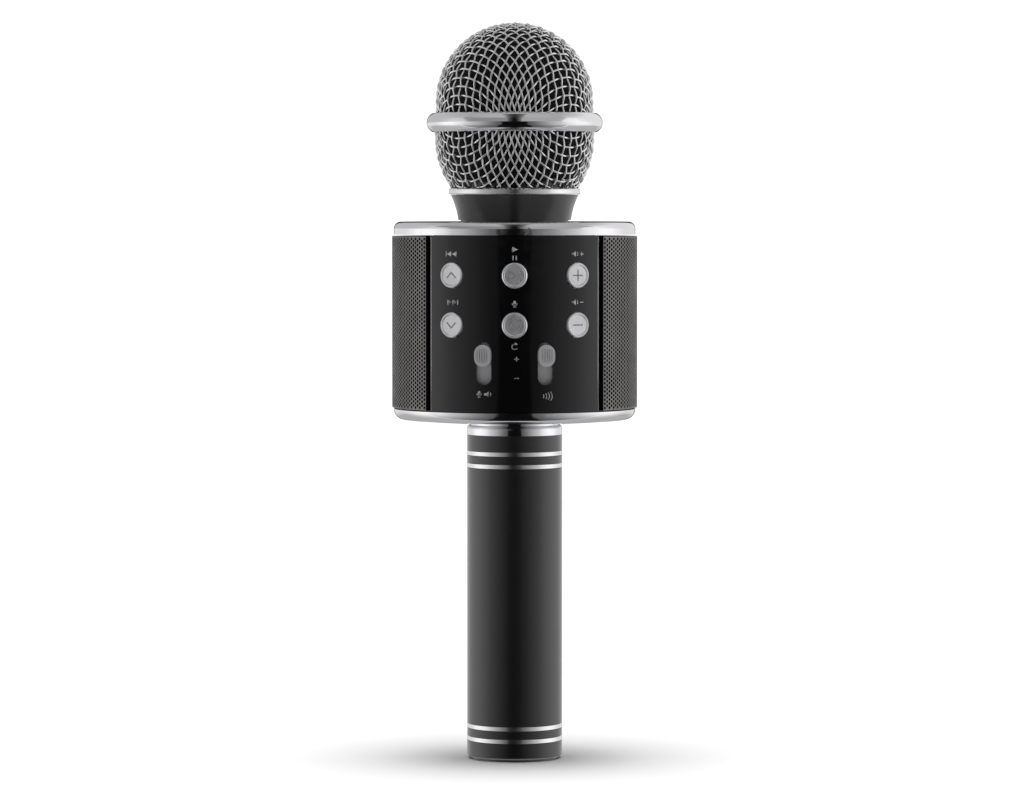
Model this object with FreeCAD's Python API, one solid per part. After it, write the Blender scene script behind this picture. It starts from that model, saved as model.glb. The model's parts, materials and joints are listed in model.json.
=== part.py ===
"""Hand-held karaoke microphone with a loudspeaker barrel, modelled as the pieces it comes apart into.

Frame: millimetres, +Z up along the microphone's axis, origin at the centre of the tail cap's flat underside.
The control panel faces -Y and the socket panel faces +Y; the two loudspeakers face +X and -X.
Heights in the shape functions are measured from the lower end of the grip tube, which is where the pieces are
fitted from. The finished pieces are all raised by FOOT, so that the origin is the tail cap's underside.
"""
import FreeCAD, Part
import math
import os

V = FreeCAD.Vector
UP = V(0, 0, 1)
ORIGIN = V(0, 0, 0)

# ---- Driving dimensions ------------------------------------------------------------------------------
GAP = 0.05                 # gap left between pieces of one body that touch
RUN = 0.1                  # running clearance of the screwed joints
FOOT = 0.7                 # how far the tail cap stands out below the grip

HANDLE_R = 15.2            # grip radius
HANDLE_WALL = 1.6
HANDLE_LOW, HANDLE_TOP = 0.0, 103.25
HUB_R = 13.5               # hole for the adapter's stem in the collar and the bottom cap
LEAD_BORE = 9.5            # bore that the leads run through
BAND_W = 1.6               # width of a polished inlay ring
BAND_DEPTH = 0.55
BAND_CENTRES = (5.9, 9.9, 93.45, 97.4)

TAIL_THREAD_R = 12.8       # bore of the handle's threaded end
TAIL_THREAD_TOP = 9.0
TAIL_FLANGE_R = 13.8
TAIL_FLOOR = 2.2           # inside floor of the tail cap
TAIL_TOP = 8.0             # top of the tail cap's spigot

CELL_R, CELL_LENGTH = 9.15, 65.0   # 18650 lithium cell
CELL_LOW = 15.5
SLEEVE_LOW, SLEEVE_TOP = 12.0, 84.0

BARREL_R = 38.6            # end caps
CAP_WALL = 1.6
LOW_CAP = (107.85, 111.55) # bottom cap, underside and rim top
TOP_CAP = (167.2, 171.3)   # top cap, rim bottom and top face
ADAPTER_SCREWS = (4, 17.5, 45.0)   # screws under the chassis: how many, on what radius, from what angle
NECK_SCREWS = (3, 14.3, 90.0)
PANEL_R, PANEL_WALL = 38.3, 1.4
PANEL_HALF = 44.1          # half angle of a panel, degrees
PANEL_Z = (111.7, 167.05)
MESH_R, MESH_WALL = 39.2, 0.8
MESH_HALF = 44.5           # half angle of a loudspeaker grille, degrees
MESH_Z = (112.05, 166.75)
SHELL_R, SHELL_WALL = 36.6, 2.2    # inner chassis
SHELL_Z = (111.6, 166.6)
PLATE = 2.0                # chassis end plates and baffles
WINDOW_HALF = 40.5         # half angle of the chassis windows, degrees

BUTTON_R = 3.95
BUTTON_TOP = 39.1          # distance of a button's rim from the axis
BUTTON_GAP = 0.25          # between a button and its hole
BUTTON_ANGLE = 30.8        # side columns of buttons, degrees from the front
BUTTON_ROWS = (154.65, 139.1)
POWER_Z = 156.0
KNOB_ANGLE = 14.7
KNOB_Z = 129.6             # slider knob's centre at rest, its highest place
KNOB_TRAVEL = 6.2
SLOT_Z = (120.4, 133.8)
SLOT_W = 5.0
BOARD_R = 29.6             # outer face of the curved control board
BOARD_WALL = 1.6
SWITCH_TOP = 32.3          # distance of the front switches' faces from the axis
REAR_BOARD_Y = (21.0, 22.4)
REAR_SWITCH_TOP = 25.4
BOSSES = [(x, z) for x in (-18.0, 18.0) for z in (115.9, 162.2)]   # case screws, side to side and up

USB_Z, CARD_Z, LOW_SOCKET_Z = 142.0, 131.5, 121.0   # places on the socket panel
CHARGE_X, JACK_X, LIGHT_X = -9.0, 9.0, 9.0
USB_HOLE, CARD_HOLE, CHARGE_HOLE = (12.6, 5.2), (12.0, 1.8), (8.0, 3.4)   # panel openings, width and height
JACK_HOLE_R, LIGHT_HOLE_R = 3.3, 1.0

SPEAKER_Z = 139.0
BAFFLE_X = 26.0            # inner face of a baffle
SPEAKER_HOLE_R = 19.2
SPEAKER_WINDOW = 45.0      # width of the chassis window over a loudspeaker
SPEAKER_SCREWS = (4, 20.4, 45.0)

NECK_LOW, NECK_TOP = 171.4, 179.9
NECK_LOW_R, NECK_TOP_R = 18.0, 20.4
NECK_WAIST_R, NECK_WAIST = 18.9, 176.0   # point halfway up the neck's hollow curve
NECK_BORE = 12.6           # bore through the neck's screwed base
SPIGOT_R, SPIGOT_TOP = 16.5, 184.0
BASE_RING_R = 21.0
BASE_RING_Z = (180.0, 181.9)
HEAD_R = 25.3              # woven dome
GRILLE_WALL = 1.2
CUP_R = 25.6               # woven cup: straight at the top, then one curve down to the base ring
CUP_BEND = 27.5            # radius of that curve
CUP_Z = (181.95, 198.0)    # foot of the cup and top of its curve
BAND_Z = 202.9             # middle of the polished band round the head
BAND_HALF = 3.0
DOME_Z = 209.6             # centre of the dome's sphere


# ---- Helpers -----------------------------------------------------------------------------------------
def tube(outer, inner, low, high):
    """Upright ring; inner 0 makes a disc."""
    body = Part.makeCylinder(outer, high - low, V(0, 0, low))
    if inner > 0:
        body = body.cut(Part.makeCylinder(inner, high - low + 2, V(0, 0, low - 1)))
    return body


def spin(points):
    """Solid of revolution about Z. A point is (r, z); two points in one entry are an arc's middle and end."""
    edges = []
    start = here = V(points[0][0], 0, points[0][1])
    for entry in points[1:]:
        if isinstance(entry[0], tuple):
            middle, end = (V(p[0], 0, p[1]) for p in entry)
            edges.append(Part.Arc(here, middle, end).toShape())
        else:
            end = V(entry[0], 0, entry[1])
            edges.append(Part.LineSegment(here, end).toShape())
        here = end
    if here.distanceToPoint(start) > 1e-6:
        edges.append(Part.LineSegment(here, start).toShape())
    return Part.Face(Part.Wire(edges)).revolve(ORIGIN, UP, 360)


def crown(r, z, top, flat=0.0):
    """Middle of the arc from (r, z) that runs level into (flat, top)."""
    run, rise = r - flat, top - z
    radius = (run * run + rise * rise) / (2 * rise)
    half = math.asin(max(-1.0, min(1.0, run / radius))) / 2
    return flat + radius * math.sin(half), top - radius * (1 - math.cos(half))


def block(x, y, z):
    """Box from three (low, high) pairs."""
    return Part.makeBox(x[1] - x[0], y[1] - y[0], z[1] - z[0], V(x[0], y[0], z[0]))


def fuse(first, *others):
    return first.multiFuse(list(others)).removeSplitter() if others else first


def cut(first, *others):
    return first.cut(Part.makeCompound(list(others))) if others else first


def sector(outer, inner, low, high, middle, half):
    """Piece of an upright tube, within half degrees of middle. Angles run from the front (-Y) towards +X."""
    face = Part.makeCylinder(outer, high - low, V(0, 0, low), UP, 2 * half)
    face = face.cut(Part.makeCylinder(inner, high - low + 2, V(0, 0, low - 1)))
    face.rotate(ORIGIN, UP, middle - half - 90)
    return face


def seat(shape, angle, height):
    """Sets a shape drawn about the origin (+X right, +Y up, +Z outwards) at an angle and height of the barrel."""
    c, s = math.cos(math.radians(angle)), math.sin(math.radians(angle))
    placed = shape.copy()
    matrix = FreeCAD.Matrix(c, 0, s, 0, s, 0, -c, 0, 0, 1, 0, height, 0, 0, 0, 1)
    placed.Placement = FreeCAD.Placement(matrix).multiply(placed.Placement)
    return placed


def pill(width, length, low, high, centre=0.0):
    """Flat oblong with round ends, drawn in the seat frame, its length along +Y."""
    r = width / 2
    half = length / 2 - r
    ends = [Part.makeCylinder(r, high - low, V(0, centre + side * half, low)) for side in (-1, 1)]
    middle = block((-r, r), (centre - half, centre + half), (low, high))
    return fuse(middle, *ends)


def bar(x0, y0, x1, y1, width, low, high):
    """Straight stroke of an engraved sign, from one point to another, drawn in the seat frame."""
    length = math.hypot(x1 - x0, y1 - y0)
    stroke = block((-width / 2, length + width / 2), (-width / 2, width / 2), (low, high))
    stroke.rotate(ORIGIN, UP, math.degrees(math.atan2(y1 - y0, x1 - x0)))
    stroke.translate(V(x0, y0, 0))
    return stroke


def round_wire(corners, radius, share=None, bend=None):
    """Round wire along straight runs joined by tangent arcs. The arcs have the bend radius, or take up that
    share of the shorter run beside them."""
    edges = []
    here = corners[0]
    for before, corner, after in zip(corners, corners[1:], corners[2:], strict=False):
        to, away = corner - before, after - corner
        shorter = min(to.Length, away.Length)
        to.normalize()
        away.normalize()
        turn = math.acos(max(-1.0, min(1.0, to.dot(away))))
        back = bend * math.tan(turn / 2) if bend else share * shorter
        arc = back / math.tan(turn / 2)
        start, end = corner - to * back, corner + away * back
        inward = (away - to).normalize()
        middle = corner + inward * (arc / math.cos(turn / 2) - arc)
        edges.append(Part.LineSegment(here, start).toShape())
        edges.append(Part.Arc(start, middle, end).toShape())
        here = end
    edges.append(Part.LineSegment(here, corners[-1]).toShape())
    profile = Part.Face(Part.Wire(Part.makeCircle(radius, corners[0], corners[1] - corners[0])))
    return Part.Wire(edges).makePipe(profile)


def lead(points, radius, bend):
    """Insulated lead through the points, turning with one bend radius."""
    return round_wire([V(*p) for p in points], radius, bend=bend)


def screw(head_r, head_h, shank_r, length):
    """Pan-head screw pointing along -Z, its head's underside at the origin, with a cross recess."""
    body = fuse(Part.makeCylinder(head_r, head_h), Part.makeCylinder(shank_r, length, V(0, 0, -length)))
    arm, width = head_r * 0.65, head_r * 0.24
    deep = (head_h * 0.45, head_h + 1)
    return cut(body, block((-arm, arm), (-width, width), deep), block((-width, width), (-arm, arm), deep))


def around(count, radius, first=0.0):
    """Points (x, y) spaced evenly round the axis."""
    angles = [math.radians(first + 360.0 * k / count) for k in range(count)]
    return [(radius * math.cos(a), radius * math.sin(a)) for a in angles]


def turned(shape, axis, degrees, to=ORIGIN):
    placed = shape.copy()
    placed.rotate(ORIGIN, axis, degrees)
    placed.translate(to)
    return placed


# ---- Handle ------------------------------------------------------------------------------------------
def handle_tube():
    """Aluminium grip tube with a threaded lower end and grooves for the polished rings."""
    edge = 0.6
    bore = HANDLE_R - HANDLE_WALL
    body = spin([
        (TAIL_THREAD_R, HANDLE_LOW), (HANDLE_R - edge, HANDLE_LOW), (HANDLE_R, HANDLE_LOW + edge),
        (HANDLE_R, HANDLE_TOP), (bore, HANDLE_TOP), (bore, TAIL_THREAD_TOP), (TAIL_THREAD_R, TAIL_THREAD_TOP)])
    half = BAND_W / 2
    grooves = [tube(HANDLE_R + 1, HANDLE_R - BAND_DEPTH, z - half, z + half) for z in BAND_CENTRES]
    return cut(body, *grooves)


def handle_bands():
    """Four polished inlay rings, flush with the grip."""
    half, soft = BAND_W / 2 - 0.02, 0.15
    inner, outer = HANDLE_R - BAND_DEPTH + 0.02, HANDLE_R - 0.01
    rings = []
    for z in BAND_CENTRES:
        low, high = z - half, z + half
        rings.append(spin([(inner, low), (outer - soft, low), (outer, low + soft),
                           (outer, high - soft), (outer - soft, high), (inner, high)]))
    return Part.makeCompound(rings)


def handle_collar():
    """Polished ring that closes the top of the grip under the barrel."""
    low, top = HANDLE_TOP + GAP, LOW_CAP[0] - GAP
    shoulder, soft = 105.3, 1.1
    neck, crest = HANDLE_R - soft, shoulder + soft
    return spin([(HUB_R, low), (HANDLE_R, low), (HANDLE_R, shoulder),
                 (crown(HANDLE_R, shoulder, crest, neck), (neck, crest)), (neck, top), (HUB_R, top)])


def handle_adapter():
    """Hollow stem, screwed under the chassis, that carries the handle and clamps the bottom cap."""
    low, high = LOW_CAP[0] + CAP_WALL + GAP, SHELL_Z[0] - GAP
    stem_low, stem_r, flange_r = 86.0, 13.4, 22.0
    body = fuse(tube(stem_r, LEAD_BORE, stem_low, low), tube(flange_r, LEAD_BORE, low, high))
    holes = [Part.makeCylinder(1.2, 4, V(*at, low - 0.5)) for at in around(*ADAPTER_SCREWS)]
    return cut(body, *holes)


def tail_cap():
    """Screw-in end cap with a coin slot, hollow to take the contact spring."""
    soft, top = 0.25, HANDLE_LOW - 0.03
    thread = TAIL_THREAD_R - RUN
    bore = 11.0
    body = spin([
        (0, -FOOT), (TAIL_FLANGE_R - soft, -FOOT), (TAIL_FLANGE_R, soft - FOOT), (TAIL_FLANGE_R, top),
        (thread, top), (thread, 1.3), (11.9, 1.3), (11.9, 2.7), (thread, 2.7), (thread, TAIL_TOP - 0.4),
        (thread - 0.4, TAIL_TOP), (bore, TAIL_TOP), (bore, TAIL_FLOOR), (0, TAIL_FLOOR)])
    return cut(body, pill(2.0, 15.0, -FOOT - 1, 0.4))


def tail_seal():
    """Square-section sealing ring on the tail cap's spigot."""
    return tube(12.76, 11.95, 1.35, 2.65)


def tail_spring():
    """Conical contact spring between the tail cap and the cell's flat end: a helix of short tangent arcs."""
    wire, turns, steps = 0.45, 4.5, 8
    wide, narrow = 8.2, 4.8
    low, high = TAIL_FLOOR + wire + GAP, CELL_LOW - wire - 2 * GAP
    count = int(turns * steps)
    corners = []
    for k in range(count + 1):
        share = k / count
        radius = wide + (narrow - wide) * share
        angle = 2 * math.pi * k / steps
        corners.append(V(radius * math.cos(angle), radius * math.sin(angle), low + (high - low) * share))
    return round_wire(corners, wire, 0.45)


def battery_sleeve():
    """Plastic liner that centres the cell in the grip, with three locating rims."""
    body = tube(10.9, LEAD_BORE, SLEEVE_LOW, SLEEVE_TOP)
    rims = [tube(13.5, 10.5, low, low + 2) for low in (SLEEVE_LOW, 47.0, SLEEVE_TOP - 2)]
    keyways = [block((-1.5, 1.5), (11.5, 14), (SLEEVE_LOW - 1, SLEEVE_TOP + 1))]
    return cut(fuse(body, *rims), *keyways)


def battery_cell():
    """Cylindrical lithium cell with its crimp groove and raised positive end."""
    r, low, top = CELL_R, CELL_LOW, CELL_LOW + CELL_LENGTH - 1.4
    crimp = top - 3.2
    return spin([
        (0, low), (r - 0.6, low), (r, low + 0.6), (r, crimp - 0.8), (r - 0.7, crimp), (r, crimp + 0.8),
        (r, top - 0.5), (r - 0.5, top), (r - 1.6, top), (r - 1.6, top - 0.4), (3.2, top - 0.4),
        (3.0, top + 1.4), (0, top + 1.4)])


def contact_board():
    """Round board over the cell that carries the positive contact."""
    board = tube(13.4, 0, SLEEVE_TOP + GAP, SLEEVE_TOP + 1.25)
    return cut(board, block((-1.5, 1.5), (11.5, 14), (83, 87)))


def positive_contact():
    """Sprung brass button under the contact board."""
    tip, foot = CELL_LOW + CELL_LENGTH + GAP, SLEEVE_TOP - 0.8
    nose, pin, flange = 1.6, 2.4, 5.5
    return spin([(0, tip), (nose, tip), (pin, tip + pin - nose), (pin, foot), (flange, foot),
                 (flange, SLEEVE_TOP), (0, SLEEVE_TOP)])


# ---- Barrel ------------------------------------------------------------------------------------------
def bottom_cap():
    """Plated bottom cap: a flat underside with a faint bevel, rounded up to a short rim."""
    low, rim = LOW_CAP
    floor = low + CAP_WALL
    flat, bevel, rise, soft = 31.0, 35.5, 0.35, 3.1
    edge, inner, hollow = low + rise + soft, BARREL_R - CAP_WALL, soft - CAP_WALL
    return spin([
        (HUB_R, low), (flat, low), (bevel, low + rise),
        (crown(BARREL_R, edge, low + rise, bevel), (BARREL_R, edge)), (BARREL_R, rim), (inner, rim), (inner, edge),
        (crown(inner, edge, edge - hollow, bevel), (bevel, edge - hollow)), (flat, floor), (HUB_R, floor)])


def top_cap():
    """Plated top cap: a flat top with a rounded edge."""
    rim, top = TOP_CAP
    soft = 2.1
    flat, ceiling = BARREL_R - soft, top - CAP_WALL
    hole, inner = 16.05, BARREL_R - CAP_WALL
    return spin([(hole, top), (flat, top), (crown(BARREL_R, top - soft, top, flat), (BARREL_R, top - soft)),
                 (BARREL_R, rim), (inner, rim), (inner, ceiling), (hole, ceiling)])


def curved_panel(middle):
    """Blank of a curved panel, its upright edges bevelled."""
    low, high = PANEL_Z
    body = sector(PANEL_R, PANEL_R - PANEL_WALL, low, high, middle, PANEL_HALF)
    tools = []
    half, shift = 0.4, 0.12
    for side in (-1, 1):
        edge = block((-half, half), (-1, high - low + 1), (-half, half))
        edge.rotate(ORIGIN, V(0, 1, 0), 45)
        edge.translate(V(side * shift, 0, PANEL_R + shift))
        tools.append(seat(edge, middle + side * PANEL_HALF, low))
    return cut(body, *tools)


def button_places():
    """Name, angle and height of each front button."""
    names = (("previous_button", "play_button", "volume_up_button"),
             ("next_button", "replay_button", "volume_down_button"))
    places = []
    for row, z in zip(names, BUTTON_ROWS, strict=True):
        for name, side in zip(row, (-1, 0, 1), strict=True):
            places.append((name, side * BUTTON_ANGLE, z))
    return places


def front_panel():
    """Glossy control panel with six button holes and two slider slots."""
    hole = Part.makeCylinder(BUTTON_R + BUTTON_GAP, 8, V(0, 0, PANEL_R - 5))
    slot = pill(SLOT_W, SLOT_Z[1] - SLOT_Z[0], PANEL_R - 5, PANEL_R + 3)
    holes = [seat(hole, angle, z) for _, angle, z in button_places()]
    slots = [seat(slot, side * KNOB_ANGLE, sum(SLOT_Z) / 2) for side in (-1, 1)]
    return cut(curved_panel(0), *holes, *slots)


def rear_opening(x, z, size):
    """Tool for a rectangular opening in the socket panel; size is its width and height."""
    wide, tall = size
    return block((x - wide / 2, x + wide / 2), (30, 42), (z - tall / 2, z + tall / 2))


def rear_panel():
    """Socket panel with openings for the power button, light, sockets and card."""
    holes = [
        seat(Part.makeCylinder(BUTTON_R + BUTTON_GAP, 8, V(0, 0, PANEL_R - 5)), 180, POWER_Z),
        Part.makeCylinder(LIGHT_HOLE_R, 12, V(LIGHT_X, 30, POWER_Z), V(0, 1, 0)),
        rear_opening(0, USB_Z, USB_HOLE), rear_opening(0, CARD_Z, CARD_HOLE),
        rear_opening(CHARGE_X, LOW_SOCKET_Z, CHARGE_HOLE),
        Part.makeCylinder(JACK_HOLE_R, 12, V(JACK_X, 30, LOW_SOCKET_Z), V(0, 1, 0))]
    return cut(curved_panel(180), *holes)


def speaker_mesh(side):
    """Curved grille sheet over a loudspeaker, its upright edges folded in."""
    low, high = MESH_Z
    middle = side * 90
    fold = 0.6
    sheet = sector(MESH_R, MESH_R - MESH_WALL, low, high, middle, MESH_HALF)
    folds = [sector(MESH_R - 0.2, SHELL_R + 0.2, low, high, middle + end * (MESH_HALF - fold), fold)
             for end in (-1, 1)]
    return fuse(sheet, *folds)


def chassis_windows():
    """Openings of the chassis: front, back and loudspeaker windows, and all its screw holes."""
    low, high = SHELL_Z
    inner = SHELL_R - SHELL_WALL
    across, along = V(1, 0, 0), V(0, 1, 0)
    windows = [sector(SHELL_R + 1, inner - 0.3, low + PLATE, high - PLATE, middle, WINDOW_HALF)
               for middle in (0, 180)]
    for side in (-1, 1):
        ends = sorted((side * (BAFFLE_X + PLATE), side * 40.0))
        windows.append(block(ends, (-SPEAKER_WINDOW / 2, SPEAKER_WINDOW / 2), (115.0, 163.0)))
        windows.append(Part.makeCylinder(SPEAKER_HOLE_R, 10, V(side * 27 - 5, 0, SPEAKER_Z), across))
        for y, z in around(*SPEAKER_SCREWS):
            windows.append(Part.makeCylinder(0.9, 6, V(side * 27 - 3, y, SPEAKER_Z + z), across))
    windows += [Part.makeCylinder(1.1, 40, V(x, -14, z), along) for x, z in BOSSES]
    windows += [Part.makeCylinder(1.1, 6, V(*at, low - 1)) for at in around(*ADAPTER_SCREWS)]
    windows += [Part.makeCylinder(1.1, 6, V(*at, high - 4)) for at in around(*NECK_SCREWS)]
    return windows


def chassis():
    """Inner plastic body: a tube with end plates, a flat baffle on each side, windows and screw bosses."""
    low, high = SHELL_Z
    inside = (low + 1, high - 1)
    inner = SHELL_R - SHELL_WALL
    pieces = [tube(SHELL_R - 0.5, NECK_BORE, high - PLATE, high),
              tube(SHELL_R - 0.5, LEAD_BORE, low, low + PLATE)]
    pieces += [Part.makeCylinder(2.6, 32.6, V(x, -20.6, z), V(0, 1, 0)) for x, z in BOSSES]
    for side in (-1, 1):
        baffle = sorted((side * BAFFLE_X, side * (BAFFLE_X + PLATE)))
        pieces.append(block(baffle, (-23.0, 23.0), inside))
        pieces.append(sector(inner + 0.5, BOARD_R + 0.1, *inside, side * 41.2, 1.2))
        post = block(sorted((side * 20.0, side * 25.0)), (REAR_BOARD_Y[1] + GAP, 29), inside)
        pieces.append(post.common(Part.makeCylinder(SHELL_R - 0.5, high, ORIGIN)))
    return cut(fuse(tube(SHELL_R, inner, low, high), *pieces), *chassis_windows())


def chassis_front():
    return chassis().common(block((-50, 50), (-50, -GAP), (100, 180)))


def chassis_rear():
    return chassis().common(block((-50, 50), (GAP, 50), (100, 180)))


def case_screws():
    """Screws that join the chassis halves, the handle adapter and the neck."""
    long_one = screw(2.2, 1.4, 1.0, 22.0)
    pieces = [turned(long_one, V(1, 0, 0), -90, V(x, 12.0 + GAP, z)) for x, z in BOSSES]
    down_one = screw(2.0, 1.2, 1.0, 3.85)
    above = SHELL_Z[0] + PLATE + GAP
    pieces += [turned(down_one, UP, 0, V(*at, above)) for at in around(*ADAPTER_SCREWS)]
    up_one = screw(1.7, 1.1, 0.95, 6.0)
    below = SHELL_Z[1] - PLATE - GAP
    pieces += [turned(up_one, V(1, 0, 0), 180, V(*at, below)) for at in around(*NECK_SCREWS)]
    return Part.makeCompound(pieces)


# ---- Loudspeakers ------------------------------------------------------------------------------------
def facing(shape, side):
    """Lays a shape drawn along +Z on the loudspeaker axis, pointing outwards to +X or -X."""
    return turned(shape, V(0, 1, 0), 90 * side, V(0, 0, SPEAKER_Z))


def speaker_frame(side):
    """Pressed basket: mounting flange, deep wall with four openings and a back plate."""
    body = spin([
        (6.0, 16.5), (12.8, 16.5), (19.0, 24.0), (19.0, 28.05), (21.8, 28.05), (21.8, 29.4), (18.95, 29.4),
        (18.95, 27.5), (18.2, 27.5), (18.2, 24.3), (12.5, 17.6), (6.0, 17.6)])
    openings = [turned(block((8, 19), (-4.5, 4.5), (18.2, 24)), UP, 90 * k) for k in range(4)]
    holes = [Part.makeCylinder(0.95, 4, V(*at, 27)) for at in around(*SPEAKER_SCREWS)]
    return facing(cut(body, *openings, *holes), side)


def speaker_magnet(side):
    """Magnet and yoke with the ring-shaped gap that the voice coil runs in."""
    back, face, pole_face, gap_floor = 9.0, 16.45, 17.2, 12.2
    outer, gap_outer, gap_inner = 11.5, 5.75, 4.75
    return facing(spin([
        (0, back), (outer, back), (outer, face), (gap_outer, face), (gap_outer, gap_floor),
        (gap_inner, gap_floor), (gap_inner, pole_face), (0, pole_face)]), side)


def speaker_cone(side):
    """Paper cone with dust cap and voice-coil tube, one moving piece."""
    return facing(spin([
        (5.1, 13.6), (5.4, 13.6), (5.4, 20.4), (14.9, 27.2), (14.9, 27.7), (14.2, 27.7), (6.2, 22.0),
        (crown(6.2, 22.0, 24.1), (0, 24.1)), (0, 23.7), (crown(5.1, 21.9, 23.7), (5.1, 21.9))]), side)


def speaker_surround(side):
    """Half-roll rubber edge that joins the cone to the basket."""
    return facing(spin([
        (13.6, 27.75), (14.95, 27.75), ((16.6, 29.35), (18.25, 27.75)), (18.25, 27.55), (18.9, 27.55),
        (18.9, 28.0), (18.65, 28.0), ((16.6, 29.8), (14.6, 28.1)), (13.6, 28.1)]), side)


def speaker_screws():
    """Eight small screws round the two loudspeakers."""
    one = screw(1.35, 0.8, 0.8, 4.5)
    pieces = []
    for side in (-1, 1):
        for x, y in around(*SPEAKER_SCREWS):
            placed = one.copy()
            placed.translate(V(x, y, 29.4 + GAP))
            pieces.append(facing(placed, side))
    return Part.makeCompound(pieces)


# ---- Electronics -------------------------------------------------------------------------------------
def control_board():
    """Curved circuit board behind the control panel."""
    return sector(BOARD_R, BOARD_R - BOARD_WALL, 114.0, 163.9, 0, 42.0)


def switch(top, base):
    """Square push switch whose well takes a button's stem."""
    body = block((-3, 3), (-3, 3), (base, top))
    return cut(body, Part.makeCylinder(1.75, 3, V(0, 0, top - 1.3)))


def switch_bodies():
    """Push switches for the six front buttons and the power button."""
    fronts = [seat(switch(SWITCH_TOP, BOARD_R + GAP), angle, z) for _, angle, z in button_places()]
    rear = seat(switch(REAR_SWITCH_TOP, REAR_BOARD_Y[1] + GAP), 180, POWER_Z)
    return Part.makeCompound(fronts + [rear])


def slide_pots():
    """Two slide potentiometers, each with a long well for the knob's lever."""
    top, z = 33.0, KNOB_Z - KNOB_TRAVEL / 2
    body = block((-3.4, 3.4), (-8.5, 8.5), (BOARD_R + GAP, top))
    body = cut(body, pill(2.2, KNOB_TRAVEL + 4.4, top - 1.5, top + 1))
    return Part.makeCompound([seat(body, side * KNOB_ANGLE, z) for side in (-1, 1)])


def board_chips():
    """Processor, amplifier, coils and capacitors on the inside of the control board."""
    outer = 27.5
    pieces = [
        seat(block((-4.5, 4.5), (-4.5, 4.5), (outer - 1.4, outer - 0.1)), 14, 144),
        seat(block((-3, 3), (-2.5, 2.5), (outer - 1.5, outer)), -16, 150),
        seat(block((-3, 3), (-3, 3), (outer - 2.6, outer)), -18, 136),
        seat(block((-2, 2), (-2, 2), (outer - 1.2, outer)), 20, 130)]
    for angle, z in ((-10, 125), (-24, 124), (24, 156), (8, 158)):
        pieces.append(seat(Part.makeCylinder(2.0, 4.5, V(0, 0, outer - 4.5)), angle, z))
    return Part.makeCompound(pieces)


def button(signs=(), stem_end=SWITCH_TOP - 0.6):
    """Round push button: raised rim, dished face with an engraved sign, retaining flange and stem."""
    rim, dish = 0.6, BUTTON_TOP - 0.35
    body = spin([
        (0, stem_end), (1.45, stem_end), (1.45, 35.4), (5.0, 35.4), (5.0, 36.2), (BUTTON_R, 36.2),
        (BUTTON_R, BUTTON_TOP - 0.3), (BUTTON_R - 0.3, BUTTON_TOP), (BUTTON_R - rim, BUTTON_TOP),
        (BUTTON_R - rim - 0.25, dish), (0, dish)])
    strokes = [bar(*points, 0.42, dish - 0.2, dish + 1) for points in signs]
    return cut(body, *strokes)


def sign_strokes():
    """Engraved signs, as straight strokes x0, y0, x1, y1."""
    chevron = 1.5
    turn = [(1.7 * math.cos(math.radians(a)), 1.7 * math.sin(math.radians(a))) for a in range(60, 361, 50)]
    return {
        "previous_button": [(-chevron, -0.7, 0, 0.9), (0, 0.9, chevron, -0.7)],
        "next_button": [(-chevron, 0.7, 0, -0.9), (0, -0.9, chevron, 0.7)],
        "volume_up_button": [(-1.6, 0, 1.6, 0), (0, -1.6, 0, 1.6)],
        "volume_down_button": [(-1.6, 0, 1.6, 0)],
        "play_button": [(-1.7, -1.3, -1.7, 1.3), (-1.7, 1.3, 0.1, 0), (0.1, 0, -1.7, -1.3),
                        (0.95, -1.3, 0.95, 1.3), (1.9, -1.3, 1.9, 1.3)],
        "replay_button": [(*a, *b) for a, b in zip(turn, turn[1:], strict=False)]
        + [(*turn[0], turn[0][0] - 0.2, turn[0][1] - 1.0), (*turn[0], turn[0][0] + 1.0, turn[0][1] + 0.1)],
        "power_button": [(1.6 * math.cos(math.radians(a)), 1.6 * math.sin(math.radians(a)),
                          1.6 * math.cos(math.radians(a + 40)), 1.6 * math.sin(math.radians(a + 40)))
                         for a in range(-230, 41, 45)] + [(0, 0.4, 0, 2.0)],
    }


def slider_knob():
    """Oval slider knob with grip ridges, a lever into the potentiometer and a strip that covers the slot."""
    base = PANEL_R + 0.2
    crown = Part.makeSphere(9.0, V(0, 0, base + 1.75 - 9.0))
    head = pill(5.3, 6.9, base, base + 1.75).common(fuse(crown, Part.makeCylinder(9, 1.15, V(0, 0, base))))
    half, pitch = 0.18, 0.75
    ridges = [block((i * pitch - half, i * pitch + half), (-2.2, 2.2), (base + 1.35, base + 3))
              for i in range(-2, 3)]
    head = cut(head, *ridges)
    neck = pill(3.6, 4.6, 36.4, base + 0.1)
    strip = block((-2.8, 2.8), (-9.3, 11.0), (35.8, 36.45))
    lever = block((-0.8, 0.8), (-1.2, 1.2), (31.7, 35.9))
    return fuse(head, neck, strip, lever)


def rear_board():
    """Flat circuit board behind the socket panel."""
    return block((-23.5, 23.5), REAR_BOARD_Y, (114.5, 163.5))


def socket(x, z, width, height, front, wall, depth, tongue):
    """Rectangular socket shell standing on the rear board, open towards +Y, with a contact tongue."""
    back = REAR_BOARD_Y[1] + GAP
    body = block((x - width / 2, x + width / 2), (back, front), (z - height / 2, z + height / 2))
    body = cut(body, block((x - width / 2 + wall, x + width / 2 - wall), (front - depth, front + 1),
                           (z - height / 2 + wall, z + height / 2 - wall)))
    wide, thick, low = tongue
    blade = block((x - wide / 2, x + wide / 2), (front - depth - 0.2, front - 1.2), (z + low, z + low + thick))
    return fuse(body, blade)


def usb_socket():
    return socket(0, USB_Z, 13.2, 5.8, 36.0, 0.6, 11.0, (10.8, 1.6, 0.3))


def card_socket():
    return socket(0, CARD_Z, 14.0, 2.8, 36.0, 0.6, 12.0, (9.6, 0.35, 0.15))


def charging_socket():
    return socket(CHARGE_X, LOW_SOCKET_Z, 7.8, 3.0, 34.3, 0.45, 6.0, (4.0, 0.6, 0.2))


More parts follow.
